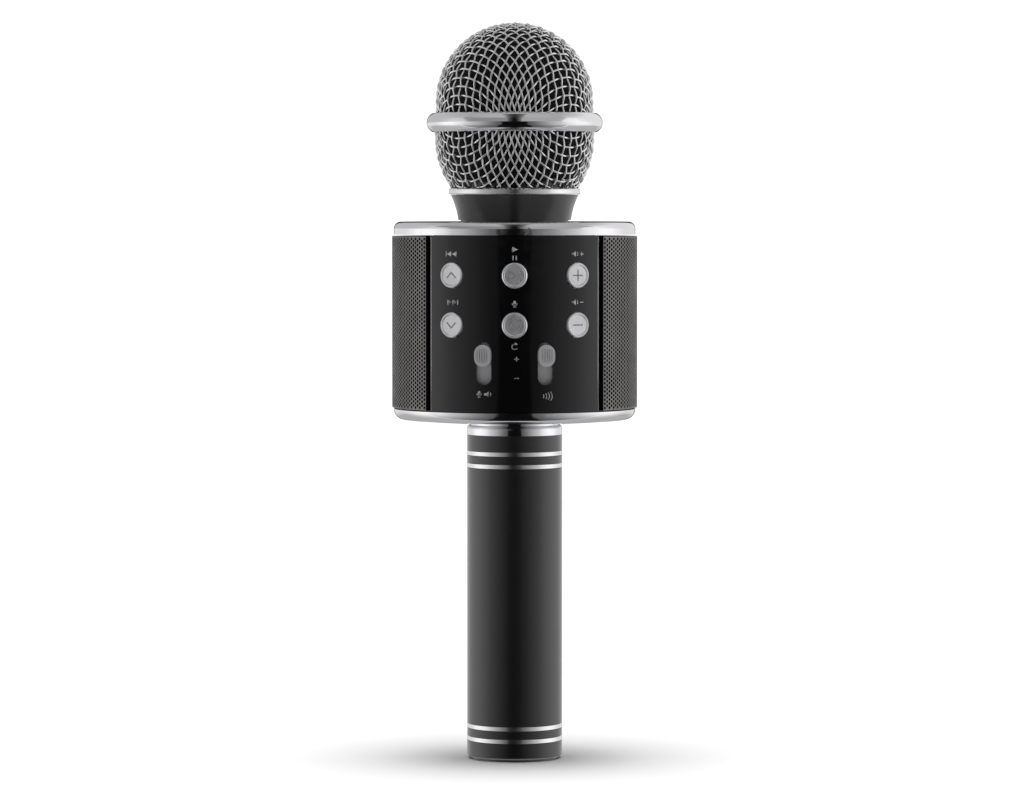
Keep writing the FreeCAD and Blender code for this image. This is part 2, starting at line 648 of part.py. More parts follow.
def audio_jack():
    """Round headphone socket on a square body."""
    back, front = REAR_BOARD_Y[1] + GAP, 34.4
    x, z = JACK_X, LOW_SOCKET_Z
    body = fuse(block((x - 3.4, x + 3.4), (back, 31.5), (z - 3.4, z + 3.4)),
                Part.makeCylinder(3.0, front - 31, V(x, 31, z), V(0, 1, 0)))
    return cut(body, Part.makeCylinder(1.8, 20, V(x, front - 11.0, z), V(0, 1, 0)))


def indicator_light():
    """Light guide from the lamp on the rear board to the panel's face."""
    back, front = REAR_BOARD_Y[1] + GAP, 37.2
    return Part.makeCylinder(LIGHT_HOLE_R - 0.1, front - back, V(LIGHT_X, back, POWER_Z), V(0, 1, 0))


def wiring_loom():
    """Insulated leads: cell to board, capsule to board, board to board and board to loudspeakers."""
    wire = 0.5
    face, rear = BOARD_R - BOARD_WALL - 0.15, REAR_BOARD_Y[0] - GAP
    cell, capsule = SLEEVE_TOP + 1.3, 201.4
    cell_turn, capsule_turn, boards, coils, coil_y = 119.0, 154.0, 116.5, 148.9, 9.9
    leads = []
    for side in (-1, 1):
        x = side * 1.2
        leads.append(lead([(x, 0, cell), (x, 0, cell_turn), (x, -face, cell_turn)], wire, 5))
        x = side * 1.0
        leads.append(lead([(x, 0, capsule), (x, 0, capsule_turn), (x, -face, capsule_turn)], wire, 5))
        x = side * 4.0
        leads.append(lead([(x, -face + 0.4, boards), (x, rear, boards)], wire, 5))
        x = side * 5.0
        leads.append(lead([(x, rear, coils), (x, coil_y, coils), (side * 17.2, coil_y, coils)], wire, 4))
    return Part.makeCompound(leads)


# ---- Neck and head -----------------------------------------------------------------------------------
def neck_collar():
    """Flared neck: a screwed base through the top cap, and a threaded spigot for the head."""
    base_low, base_top, base_r = SHELL_Z[1] + GAP, 172.0, 16.0
    bore, step, foot = SPIGOT_R - 2.5, 17.2, NECK_LOW - GAP
    groove_low, groove_in, groove_out = NECK_TOP - 0.8, 16.8, 18.7
    body = spin([
        (bore, base_top), (NECK_BORE, base_top), (NECK_BORE, base_low), (base_r, base_low), (base_r, foot),
        (step, foot), (step, NECK_LOW + 0.4), (NECK_LOW_R, NECK_LOW + 0.4),
        ((NECK_WAIST_R, NECK_WAIST), (NECK_TOP_R, NECK_TOP)), (groove_out, NECK_TOP), (groove_out, groove_low),
        (groove_in, groove_low), (groove_in, NECK_TOP), (SPIGOT_R, NECK_TOP), (SPIGOT_R, SPIGOT_TOP - 0.3),
        (SPIGOT_R - 0.3, SPIGOT_TOP), (bore, SPIGOT_TOP)])
    holes = [Part.makeCylinder(1.05, 5.2, V(*at, base_low - 0.7)) for at in around(*NECK_SCREWS)]
    return cut(body, *holes)


def head_seal():
    """Flat gasket between the neck and the head's base ring."""
    return tube(18.6, 16.9, NECK_TOP - 0.75, NECK_TOP + 0.05)


def grille_base_ring():
    """Threaded ring at the foot of the head; the lower grille is set on it."""
    low, high = BASE_RING_Z
    bore, lip = SPIGOT_R + RUN, 18.6
    soft = 0.3
    return spin([
        (bore, low), (BASE_RING_R - soft, low), (BASE_RING_R, low + soft), (BASE_RING_R, high - soft),
        (BASE_RING_R - soft, high), (lip, high), (lip, SPIGOT_TOP), (bore, SPIGOT_TOP)])


def cup_radius(z, inset=0.0):
    """Radius of the cup's curve at a height, or of the curve that lies that far inside it."""
    return CUP_R - CUP_BEND + math.sqrt((CUP_BEND - inset) ** 2 - (CUP_Z[1] - z) ** 2)


def grille_cup():
    """Lower half of the woven wire grille, as a plain shell."""
    top, t = BAND_Z - 0.1, GRILLE_WALL
    low, turn = CUP_Z
    half = (low + turn) / 2
    return spin([
        (CUP_R, top), (CUP_R, turn), ((cup_radius(half), half), (cup_radius(low), low)),
        (cup_radius(low, t), low), ((cup_radius(half, t), half), (CUP_R - t, turn)), (CUP_R - t, top)])


def dome(radius):
    """Middle and end of the quarter circle from a wall of that radius up to the top of the dome."""
    k = math.sqrt(0.5)
    return (radius * k, DOME_Z + radius * k), (0, DOME_Z + radius)


def dome_down(radius):
    """The same quarter circle, from the top of the dome down to the wall."""
    return dome(radius)[0], (radius, DOME_Z)


def grille_dome():
    """Upper half of the woven wire grille, as a plain shell."""
    low, inner = BAND_Z + 0.1, HEAD_R - GRILLE_WALL
    return spin([
        (HEAD_R, low), (HEAD_R, DOME_Z), dome(HEAD_R), dome(inner)[1], dome_down(inner), (inner, low)])


def grille_band():
    """Polished band round the widest part of the head: an upright middle between two full, rounded bevels,
    seated over the rims of the cup and the dome."""
    low, high = BAND_Z - BAND_HALF, BAND_Z + BAND_HALF
    outer, edge, full, bevel = 28.1, 27.95, 27.27, 26.3
    upright, shoulder = 1.15, 2.2
    cup, crest = CUP_R + GAP, HEAD_R + GAP
    return spin([
        (cup, low), (bevel, low), ((full, BAND_Z - shoulder), (edge, BAND_Z - upright)),
        ((outer, BAND_Z), (edge, BAND_Z + upright)), ((full, BAND_Z + shoulder), (bevel, high)),
        (crest, high), (crest, BAND_Z), (cup, BAND_Z)])


def foam_windscreen():
    """Open-cell foam liner inside the grille, open at the bottom."""
    outer = HEAD_R - GRILLE_WALL - 0.2
    inner = outer - 3.5
    low, brim = 184.6, BAND_Z
    return spin([
        (outer, brim), (outer, DOME_Z), dome(outer), dome(inner)[1], dome_down(inner), (inner, brim),
        (17.6, low + 4), (17.6, low), (19.0, low), ((22.1, 190.4), (outer, brim))])


def capsule_mount():
    """Pedestal that stands on the neck's spigot and holds the capsule in its cup."""
    return spin([
        (3.5, SPIGOT_TOP + GAP), (15.6, SPIGOT_TOP + GAP), (15.6, 185.8), (7.5, 187.0), (6.5, 198.5),
        (12.4, 200.5), (12.4, 206.0), (11.0, 206.0), (11.0, 201.6), (3.5, 200.2)])


def capsule_boot():
    """Rubber shock ring round the capsule."""
    return spin([
        (9.45, 202.6), (10.95, 202.6), (10.95, 206.1), (12.0, 206.1), (12.0, 207.6), (10.8, 209.0),
        (9.45, 209.0)])


def mic_capsule():
    """Round microphone capsule with sound holes in its face."""
    r, low, face, soft = 9.4, 202.0, 211.1, 0.5
    body = spin([(0, low), (r, low), (r, face - soft), (r - soft, face), (0, face)])
    places = [(0.0, 0.0)] + around(6, 3.2) + around(10, 6.4)
    return cut(body, *[Part.makeCylinder(0.9, 2, V(*at, face - 1)) for at in places])


# ---- Build -------------------------------------------------------------------------------------------
SINGLE_PARTS = (
    handle_tube, handle_bands, handle_collar, handle_adapter, tail_cap, tail_seal, tail_spring, battery_sleeve,
    battery_cell, contact_board, positive_contact, bottom_cap, top_cap, front_panel, rear_panel, chassis_front,
    chassis_rear, case_screws, speaker_screws, control_board, switch_bodies, slide_pots, board_chips, rear_board,
    usb_socket, card_socket, charging_socket, audio_jack, indicator_light, wiring_loom, neck_collar, head_seal,
    grille_base_ring, grille_cup, grille_dome, grille_band, foam_windscreen, capsule_mount, capsule_boot,
    mic_capsule)
SPEAKER_PARTS = (speaker_mesh, speaker_frame, speaker_magnet, speaker_surround, speaker_cone)


def all_parts():
    """Every node by name, in its place. A node has its function's name."""
    parts = {make.__name__: make() for make in SINGLE_PARTS}
    for name, side in (("left_", -1), ("right_", 1)):
        for make in SPEAKER_PARTS:
            parts[name + make.__name__] = make(side)
    signs = sign_strokes()
    for name, angle, z in button_places():
        parts[name] = seat(button(signs[name]), angle, z)
    parts["power_button"] = seat(button(signs["power_button"], REAR_SWITCH_TOP - 0.6), 180, POWER_Z)
    parts["mic_volume_knob"] = seat(slider_knob(), -KNOB_ANGLE, KNOB_Z)
    parts["echo_knob"] = seat(slider_knob(), KNOB_ANGLE, KNOB_Z)
    for shape in parts.values():
        shape.translate(V(0, 0, FOOT))
    return parts


def main():
    os.makedirs("parts", exist_ok=True)
    parts = all_parts()
    for name, shape in parts.items():
        problem = "" if shape.isValid() and shape.Volume > 0 else "  NOT VALID"
        shape.exportStep("parts/" + name + ".step")
        print(f"{name}: {len(shape.Solids)} solid(s), {shape.Volume:.1f} mm3{problem}")
    print(len(parts), "nodes")


main()
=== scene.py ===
"""Karaoke microphone: visible pieces and materials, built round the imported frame.

Everything is in the row frame: +Z up along the microphone, the control panel faces -Y.
Shapes are worked out in millimetres and turned into metres when a mesh is made.
"""
import json
import math

import bpy
import numpy as np
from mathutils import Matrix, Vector


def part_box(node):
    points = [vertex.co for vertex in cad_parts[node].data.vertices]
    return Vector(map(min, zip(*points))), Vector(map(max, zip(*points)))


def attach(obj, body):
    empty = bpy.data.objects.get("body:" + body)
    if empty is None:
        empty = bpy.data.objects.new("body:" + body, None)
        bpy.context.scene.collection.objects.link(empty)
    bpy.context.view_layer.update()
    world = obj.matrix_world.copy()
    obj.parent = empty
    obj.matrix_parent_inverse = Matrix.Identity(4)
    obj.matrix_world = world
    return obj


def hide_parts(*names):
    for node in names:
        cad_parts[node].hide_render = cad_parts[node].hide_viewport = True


MM = 0.001
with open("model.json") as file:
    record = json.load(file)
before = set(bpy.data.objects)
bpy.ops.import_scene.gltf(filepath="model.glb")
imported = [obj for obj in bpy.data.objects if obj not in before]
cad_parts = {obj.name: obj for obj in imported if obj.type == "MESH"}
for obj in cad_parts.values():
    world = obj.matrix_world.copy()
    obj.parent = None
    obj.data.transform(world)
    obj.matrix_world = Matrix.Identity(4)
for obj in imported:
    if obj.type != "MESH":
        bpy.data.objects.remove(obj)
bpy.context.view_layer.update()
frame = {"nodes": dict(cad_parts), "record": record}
cad = frame["nodes"]


def mm_box(node):
    """Lowest and highest corner of a CAD node, in millimetres."""
    low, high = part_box(node)
    return low / MM, high / MM


# ---- Materials ---------------------------------------------------------------------------------------
def add(tree, kind, **values):
    """New shader node; a value is an input's default where there is such an input, or else a setting."""
    node = tree.nodes.new("ShaderNode" + kind)
    for key, value in values.items():
        if key in node.inputs:
            node.inputs[key].default_value = value
        else:
            setattr(node, key, value)
    return node


def noise(tree, scale, detail=3.0, stretch=(1, 1, 1)):
    """Noise in object space; stretch divides the scale along each axis. Returns the value's socket."""
    coord = add(tree, "TexCoord")
    mapping = add(tree, "Mapping")
    mapping.inputs["Scale"].default_value = stretch
    tree.links.new(coord.outputs["Object"], mapping.inputs["Vector"])
    made = add(tree, "TexNoise", Scale=scale, Detail=detail)
    tree.links.new(mapping.outputs["Vector"], made.inputs["Vector"])
    return made.outputs["Fac"]


def between(tree, value, low, high, start=0.3, end=0.7):
    """Maps a noise value to the range from low to high."""
    node = add(tree, "MapRange")
    for key, number in (("From Min", start), ("From Max", end), ("To Min", low), ("To Max", high)):
        node.inputs[key].default_value = number
    tree.links.new(value, node.inputs["Value"])
    return node.outputs["Result"]


def tint(tree, value, dark, light):
    """Mixes two colours by a value."""
    ramp = add(tree, "ValToRGB")
    ramp.color_ramp.elements[0].position, ramp.color_ramp.elements[1].position = 0.3, 0.7
    ramp.color_ramp.elements[0].color = (*dark, 1)
    ramp.color_ramp.elements[1].color = (*light, 1)
    tree.links.new(value, ramp.inputs["Fac"])
    return ramp.outputs["Color"]


def material(name, colour, metallic=0.0, rough=0.4, spread=0.05, vary=0.12, patch=90.0, grain=2500.0,
             bump=0.1, stretch=(1, 1, 1), coat=0.0, sheen=0.0, ior=1.5, edge=1.0):
    """Principled material: patchy colour, uneven roughness, and a fine grain as bump. A metal's glancing
    reflections are dimmed by edge."""
    made = bpy.data.materials.new(name)
    made.use_nodes = True
    tree = made.node_tree
    shader = tree.nodes["Principled BSDF"]
    shader.inputs["Metallic"].default_value = metallic
    shader.inputs["IOR"].default_value = ior
    shader.inputs["Coat Weight"].default_value = coat
    shader.inputs["Coat Roughness"].default_value = 0.06
    shader.inputs["Sheen Weight"].default_value = sheen
    shader.inputs["Specular Tint"].default_value = (edge, edge, edge, 1)
    patches = noise(tree, patch, 4.0, stretch)
    dark = [c * (1 - vary) for c in colour]
    light = [min(1.0, c * (1 + vary)) for c in colour]
    tree.links.new(tint(tree, patches, dark, light), shader.inputs["Base Color"])
    uneven = between(tree, noise(tree, patch * 3.7, 3.0, stretch), max(0.02, rough - spread), rough + spread)
    tree.links.new(uneven, shader.inputs["Roughness"])
    bumps = add(tree, "Bump", Strength=bump, Distance=0.0001)
    tree.links.new(noise(tree, grain, 2.0, stretch), bumps.inputs["Height"])
    tree.links.new(bumps.outputs["Normal"], shader.inputs["Normal"])
    return made


MATERIALS = {
    "chrome": dict(colour=(0.85, 0.85, 0.87), metallic=1.0, rough=0.06, spread=0.03, vary=0.03, bump=0.02),
    "soft_chrome": dict(colour=(0.86, 0.86, 0.87), metallic=1.0, rough=0.2, spread=0.04, vary=0.03,
                        bump=0.03),
    "plated_plastic": dict(colour=(0.84, 0.84, 0.86), metallic=1.0, rough=0.07, spread=0.03, vary=0.03,
                           bump=0.02),
    "anodised_black": dict(colour=(0.03, 0.027, 0.027), metallic=1.0, rough=0.35, bump=0.12, grain=6000.0),
    "grip_paint": dict(colour=(0.0055, 0.0042, 0.0044), rough=0.2, spread=0.03, bump=0.06, grain=6000.0,
                       ior=1.62, sheen=0.25),
    "neck_paint": dict(colour=(0.007, 0.0075, 0.009), rough=0.2, spread=0.03, bump=0.05, grain=6000.0,
                       ior=1.58, sheen=0.7),
    "gloss_black": dict(colour=(0.0025, 0.0025, 0.003), rough=0.07, spread=0.03, bump=0.02),
    "silver_plastic": dict(colour=(0.8, 0.8, 0.82), metallic=0.85, rough=0.32, spread=0.07, bump=0.4,
                           grain=1500.0),
    "slider_plastic": dict(colour=(0.3, 0.3, 0.31), rough=0.35, vary=0.08, bump=0.2, grain=4000.0),
    "black_plastic": dict(colour=(0.022, 0.022, 0.025), rough=0.34, bump=0.15),
    "grey_plastic": dict(colour=(0.3, 0.3, 0.31), metallic=0.5, rough=0.32, bump=0.1),
    "clear_guide": dict(colour=(0.6, 0.7, 0.75), rough=0.12),
    "woven_wire": dict(colour=(0.93, 0.93, 0.94), metallic=1.0, rough=0.14, spread=0.06, vary=0.1,
                       patch=220.0, bump=0.06),
    "perforated_sheet": dict(colour=(0.185, 0.176, 0.173), metallic=1.0, rough=0.33, spread=0.07,
                             bump=0.12, edge=0.8),
    "steel": dict(colour=(0.55, 0.55, 0.56), metallic=1.0, rough=0.3, stretch=(1, 1, 6), bump=0.12),
    "magnet_steel": dict(colour=(0.2, 0.2, 0.21), metallic=0.8, rough=0.5, bump=0.3),
    "cell_wrap": dict(colour=(0.03, 0.12, 0.3), rough=0.3, coat=0.3),
    "brass": dict(colour=(0.75, 0.55, 0.22), metallic=1.0, rough=0.25),
    "foam": dict(colour=(0.004, 0.004, 0.0045), rough=0.95, vary=0.4, grain=1400.0, bump=0.9, sheen=0.05),
    "rubber": dict(colour=(0.02, 0.02, 0.02), rough=0.75, bump=0.3),
    "paper_cone": dict(colour=(0.03, 0.03, 0.03), rough=0.85, bump=0.5),
    "board": dict(colour=(0.012, 0.09, 0.035), rough=0.35, vary=0.35, patch=400.0, coat=0.4),
    "wire_insulation": dict(colour=(0.35, 0.02, 0.015), rough=0.45),
    "silver_ink": dict(colour=(0.62, 0.62, 0.63), metallic=1.0, rough=0.45, vary=0.06, bump=0.15),
    "sign": dict(colour=(0.22, 0.22, 0.23), rough=0.6, vary=0.2, bump=0.2),
}
# CAD nodes whose finish is their own, and not their slot's. The base ring's finish has painted shade where
# it is inside the cup.
FINISHES = {"handle_tube": "grip_paint", "tail_cap": "grip_paint", "neck_collar": "neck_paint",
            "handle_bands": "soft_chrome", "grille_base_ring": "ring_chrome_painted_shade",
            "mic_volume_knob": "slider_plastic", "echo_knob": "slider_plastic"}
made_materials = {name: material(name, **values) for name, values in MATERIALS.items()}


def paint(obj, name):
    """Gives an object one of the materials and returns it."""
    obj.data.materials.clear()
    obj.data.materials.append(made_materials[name])
    return obj


def painted_shade_above(name, source, share):
    """Copy of a material with painted shade: its colour turns dark above a share of the piece's height."""
    made = made_materials[source].copy()
    made.name = name
    tree = made.node_tree
    colour = tree.nodes["Principled BSDF"].inputs["Base Color"]
    split = add(tree, "SeparateXYZ")
    tree.links.new(add(tree, "TexCoord").outputs["Generated"], split.inputs[0])
    # painted shade: above the share the colour is multiplied by 0.06
    painted_shade_mix = add(tree, "Mix", data_type="RGBA", blend_type="MULTIPLY")
    painted_shade_mix.inputs["B"].default_value = (0.06, 0.06, 0.06, 1)
    over = between(tree, split.outputs["Z"], 0.0, 1.0, share - 0.01, share + 0.01)
    tree.links.new(over, painted_shade_mix.inputs["Factor"])
    tree.links.new(colour.links[0].from_socket, painted_shade_mix.inputs["A"])
    tree.links.new(painted_shade_mix.outputs["Result"], colour)
    made_materials[name] = made


def dress_cad():
    """Gives every CAD node its finish. The base ring gets painted shade: its colour turns dark where its
    collar is inside the cup, where shade falls.
    """
    low, high = mm_box("grille_base_ring")
    # painted shade on the part of the base ring that is inside the cup
    painted_shade_above("ring_chrome_painted_shade", "soft_chrome", (mm_box("grille_cup")[0][2] - low[2]) / (high[2] - low[2]))
    for part in frame["record"]["subparts"]:
        obj = cad[part["node"]]
        paint(obj, FINISHES.get(part["node"], part["material_slot"]))


# ---- Mesh helpers ------------------------------------------------------------------------------------
def mesh_object(name, points, faces, smooth_angle=None):
    """Mesh from points in millimetres. Faces that meet at over smooth_angle degrees keep a sharp edge."""
    mesh = bpy.data.meshes.new(name)
    mesh.from_pydata((np.asarray(points, float) * MM).tolist(), [], faces)
    mesh.validate()
    mesh.update()
    obj = bpy.data.objects.new(name, mesh)
    bpy.context.scene.collection.objects.link(obj)
    mesh.polygons.foreach_set("use_smooth", [True] * len(mesh.polygons))
    if smooth_angle is not None:
        mesh.set_sharp_from_angle(angle=math.radians(smooth_angle))
    return obj


def lathe(name, outline, segments=192):
    """Closed solid turned about Z from a closed (r, z) outline that stays clear of the axis."""
    count = len(outline)
    points = []
    for s in range(segments):
        a = 2 * math.pi * s / segments
        points += [(r * math.cos(a), r * math.sin(a), z) for r, z in outline]
    faces = []
    for s in range(segments):
        here, there = s * count, (s + 1) % segments * count
        for k in range(count):
            n = (k + 1) % count
            faces.append((here + k, there + k, there + n, here + n))
    return mesh_object(name, points, faces, 40)


def sweep(path, radius, sides=7):
    """Points and faces of a round wire along a path, its ends closed."""
    path = np.asarray(path, float)
    along = np.gradient(path, axis=0)
    along /= np.linalg.norm(along, axis=1)[:, None]
    side = np.cross(along[0], (0.0, 0.0, 1.0))
    if np.linalg.norm(side) < 0.1:
        side = np.cross(along[0], (1.0, 0.0, 0.0))
    rings = []
    angles = np.arange(sides) * 2 * math.pi / sides
    for point, t in zip(path, along):
        side = side - t * (side @ t)
        side /= np.linalg.norm(side)
        up = np.cross(t, side)
        rings.append(point + radius * (np.cos(angles)[:, None] * side + np.sin(angles)[:, None] * up))
    faces = []
    for k in range(len(path) - 1):
        for i in range(sides):
            j = (i + 1) % sides
            faces.append((k * sides + i, k * sides + j, (k + 1) * sides + j, (k + 1) * sides + i))
    faces.append(tuple(range(sides))[::-1])
    last = (len(path) - 1) * sides
    faces.append(tuple(last + i for i in range(sides)))
    return np.concatenate(rings), faces


def joined(pieces):
    """Puts several (points, faces) lists into one."""
    points, faces, offset = [], [], 0
    for some_points, some_faces in pieces:
        points.append(np.asarray(some_points, float))
        faces += [tuple(i + offset for i in face) for face in some_faces]
        offset += len(some_points)
    return np.concatenate(points), faces


# ---- Woven grille ------------------------------------------------------------------------------------
WIRE_R = 0.33
WEAVE = 2.85      # side of one cell of the weave
SAMPLES = 6       # points of a wire per cell
LIFT = 0.98       # height of the wire's wave over its radius: crossing wires just touch
SHUT = 0.3        # a cell whose sides have closed to this share of their length ends the net


class Shell:
    """Middle surface of a weave: an upright wall, then a curve with its own bend radius to the pole. way is
    +1 where the pole is up and -1 where it is down."""

    def __init__(self, centre, wall, bend, way):
        self.centre, self.wall, self.bend, self.way = centre, wall, bend, way
        self.offset = wall - bend

    def measure(self, p):
        """Distance from the axis, and height past the end of the wall."""
        return math.hypot(p[0], p[1]), (p[2] - self.centre) * self.way

    def project(self, p):
        """Nearest point of the surface, taken level on the wall and towards the bend's centre past it."""
        flat, past = self.measure(p)
        if past <= 0:
            return np.array((p[0] * self.wall / flat, p[1] * self.wall / flat, p[2]))
        stretch = self.bend / math.hypot(flat - self.offset, past)
        radius = max(0.0, self.offset + (flat - self.offset) * stretch)
        scale = radius / max(flat, 1e-9)
        return np.array((p[0] * scale, p[1] * scale, self.centre + self.way * past * stretch))

    def normal(self, p):
        flat, past = self.measure(p)
        out = (flat - self.offset) / max(flat, 1e-9)
        n = np.array((p[0] * out, p[1] * out, self.way * max(past, 0.0)))
        return n / np.linalg.norm(n)

    def pole(self):
        return np.array((0.0, 0.0, self.centre + self.way * math.sqrt(self.bend ** 2 - self.offset ** 2)))

    def march(self, azimuth, count):
        """Points a cell apart down the meridian from the pole."""
        direction = np.array((math.cos(azimuth), math.sin(azimuth), 0.0))
        points = [self.pole()]
        step = direction * WEAVE
        for _ in range(count):
            p = self.project(points[-1] + step)
            for _ in range(12):
                gap = p - points[-1]
                p = self.project(points[-1] + gap * WEAVE / np.linalg.norm(gap))
            step = p - points[-1]
            points.append(p)
        return points


def quarter_net(shell, count):
    """Crossing points of a quarter of the weave. Every cell keeps its four sides, as draped cloth does."""
    net = {}
    for k, (a, b) in enumerate(zip(shell.march(-math.pi / 4, count), shell.march(math.pi / 4, count))):
        net[k, 0], net[0, k] = a, b
    for total in range(2, 2 * count):
        for i in range(max(1, total - count), min(count, total - 1) + 1):
            j = total - i
            corner, a, b = (net.get(key) for key in ((i - 1, j - 1), (i, j - 1), (i - 1, j)))
            if corner is None or a is None or b is None or np.linalg.norm(a - b) < SHUT * WEAVE:
                continue
            p = shell.project(a + b - corner)
            for _ in range(60):
                for known in (a, b):
                    gap = p - known
                    p = p + gap * (WEAVE / np.linalg.norm(gap) - 1) * 0.5
                p = shell.project(p)
            net[i, j] = p
    return net


def full_net(shell, count):
    """The whole weave: the quarter turned four times about the axis."""
    net = {}
    for (i, j), (x, y, z) in quarter_net(shell, count).items():
        for _ in range(4):
            net[i, j] = np.array((x, y, z))
            i, j, x, y = -j, i, -y, x
    return net


def catmull(p0, p1, p2, p3, t):
    """Point of the smooth curve from p1 to p2 at t from 0 to 1."""
    return 0.5 * (2 * p1 + (p2 - p0) * t + (2 * p0 - 5 * p1 + 4 * p2 - p3) * t * t
                  + (3 * p1 - p0 - 3 * p2 + p3) * t ** 3)


def wire_path(net, cells):
    """Points of one wire through its cells, each with its place in the over-and-under wave."""
    points = [net[c] for c in cells]
    path = []
    for k in range(len(points) - 1):
        p0 = points[k - 1] if k else 2 * points[0] - points[1]
        p3 = points[k + 2] if k + 2 < len(points) else 2 * points[k + 1] - points[k]
        side = 1 if sum(cells[k]) % 2 else -1
        for s in range(SAMPLES):
            t = s / SAMPLES
            path.append((catmull(p0, points[k], points[k + 1], p3, t), side * math.cos(math.pi * t)))
    return path


def net_runs(net, count):
    """Crossing points along each wire, and whether the wire is one of the second direction."""
    steps = range(-count, count + 1)
    for second in (False, True):
        for row in steps:
            keys = [(row, k) if second else (k, row) for k in steps]
            run = [key for key in keys if key in net]
            if len(run) > 2:
                yield run, second


def kept_stretches(path, keep):
    """The stretches of a path whose heights keep() accepts."""
    stretches = [[]]
    for p in path:
        if keep(p[2]):
            stretches[-1].append(p)
        elif stretches[-1]:
            stretches.append([])
    return [stretch for stretch in stretches if len(stretch) > 3]


def weave(name, shell, count, keep):
    """The woven grille as one mesh; keep(z) says which heights the wires cover."""
    net = full_net(shell, count)
    wires = []
    for run, second in net_runs(net, count):
        path = []
        for p, wave in wire_path(net, run):
            lift = wave if second else -wave
            path.append(shell.project(p) + shell.normal(p) * lift * WIRE_R * LIFT)
        wires += [sweep(stretch, WIRE_R) for stretch in kept_stretches(path, keep)]
    return mesh_object(name, *joined(wires))


# ---- Perforated grille -------------------------------------------------------------------------------
HOLE_PITCH = 1.295
HOLE_R = 0.45
RIM_POINTS = 12        # points round a hole and round the six-sided cell it stands in
SHEET = 0.5
SIDE_MARGIN = 0.62     # from the last column of holes to the sheet's upright edge
END_MARGIN = 0.6       # least distance from the last row to the upper and lower edge
FOLD_DEPTH = 2.0       # how far the upright edges are folded in, from the outer face
RIM_ANGLES = [math.radians(360 / RIM_POINTS * k) for k in range(RIM_POINTS)]


def hole_cells(columns, rows, across, squeeze):
    """Flat points, and for each hole the points of its cell's rim and of the hole. Neighbours share rims."""
    keys, flat, cells = {}, [], []

    def shared(u, v):
        key = (round(u * 200), round(v * 200))
        if key not in keys:
            keys[key] = len(flat)
            flat.append([u, v])
        return keys[key]

    reaches = [HOLE_PITCH / math.sqrt(3) if k % 2 == 0 else HOLE_PITCH / 2 for k in range(RIM_POINTS)]
    for c in range(-columns, columns + 1):
        for r in range(-rows - c % 2, rows + 1):
            u, v = c * across, (r + (c % 2) / 2) * HOLE_PITCH
            rim = [shared(u + reach * squeeze * math.cos(a), v + reach * math.sin(a))
                   for reach, a in zip(reaches, RIM_ANGLES)]
            first = len(flat)
            flat += [[u + HOLE_R * math.cos(a), v + HOLE_R * math.sin(a)] for a in RIM_ANGLES]
            cells.append((rim, list(range(first, first + RIM_POINTS))))
    return flat, cells


def straighten_border(flat, cells, half_u, half_v):
    """Moves the outermost rim points to the sheet's straight edges, and returns the edges round it."""
    uses = {}
    for rim, _ in cells:
        for k in range(RIM_POINTS):
            edge = (rim[k], rim[(k + 1) % RIM_POINTS])
            uses[frozenset(edge)] = None if frozenset(edge) in uses else edge
    border = [edge for edge in uses.values() if edge]
    outermost = {i for edge in border for i in edge}
    side = max(flat[i][0] for i in outermost)
    top = max(flat[i][1] for i in outermost)
    for i in outermost:
        u, v = flat[i]
        if abs(v) > top - HOLE_PITCH * 0.6:
            flat[i][1] = math.copysign(half_v, v)
        if abs(u) > side - HOLE_PITCH / math.sqrt(3) * 0.6:
            flat[i][0] = math.copysign(half_u, u)
    return border


def folded_edge(way, half_u, half_v, outer, wrap):
    """Strip folded inwards along an upright edge; way is its side, +1 or -1."""
    stations = 12
    section = ((half_u, outer - SHEET), (half_u, outer - FOLD_DEPTH), (half_u - SHEET, outer - FOLD_DEPTH),
               (half_u - SHEET, outer - SHEET))
    heights = np.linspace(-half_v, half_v, stations)
    strip = [wrap(way * u, v, radius) for v in heights for u, radius in section]
    faces = [(k * 4 + i, k * 4 + (i + 1) % 4, k * 4 + 4 + (i + 1) % 4, k * 4 + 4 + i)
             for k in range(stations - 1) for i in range(4)]
    last = (stations - 1) * 4
    faces += [(3, 2, 1, 0), (last, last + 1, last + 2, last + 3)]
    return strip, faces if way > 0 else [face[::-1] for face in faces]


def perforated_sheet(name, middle):
    """Curved steel sheet with staggered round holes; its edges are straight and folded in at the sides."""
    low, high = mm_box("right_speaker_mesh")
    outer, centre = high[0], (low[2] + high[2]) / 2
    half_u, half_v = outer * math.asin(high[1] / outer), (high[2] - low[2]) / 2

    def wrap(u, v, radius):
        """Point at u along the arc of the outer face and v upwards, both from the sheet's middle."""
        a = middle + u / outer
        return (radius * math.cos(a), radius * math.sin(a), centre + v)

    regular = HOLE_PITCH * math.sqrt(3) / 2
    columns, rows = round((half_u - SIDE_MARGIN) / regular), int((half_v - END_MARGIN) / HOLE_PITCH)
    across = (half_u - SIDE_MARGIN) / columns
    flat, cells = hole_cells(columns, rows, across, across / regular)
    border = straighten_border(flat, cells, half_u, half_v)
    count = len(flat)
    points = [wrap(u, v, radius) for radius in (outer, outer - SHEET) for u, v in flat]
    faces = []
    for rim, hole in cells:
        for k in range(RIM_POINTS):
            n = (k + 1) % RIM_POINTS
            faces.append((rim[k], rim[n], hole[n], hole[k]))
            faces.append((hole[k] + count, hole[n] + count, rim[n] + count, rim[k] + count))
            faces.append((hole[k], hole[n], hole[n] + count, hole[k] + count))
    faces += [(b, a, a + count, b + count) for a, b in border]
    folds = [folded_edge(way, half_u, half_v, outer, wrap) for way in (-1, 1)]
    return mesh_object(name, *joined([(points, faces)] + folds), 35)


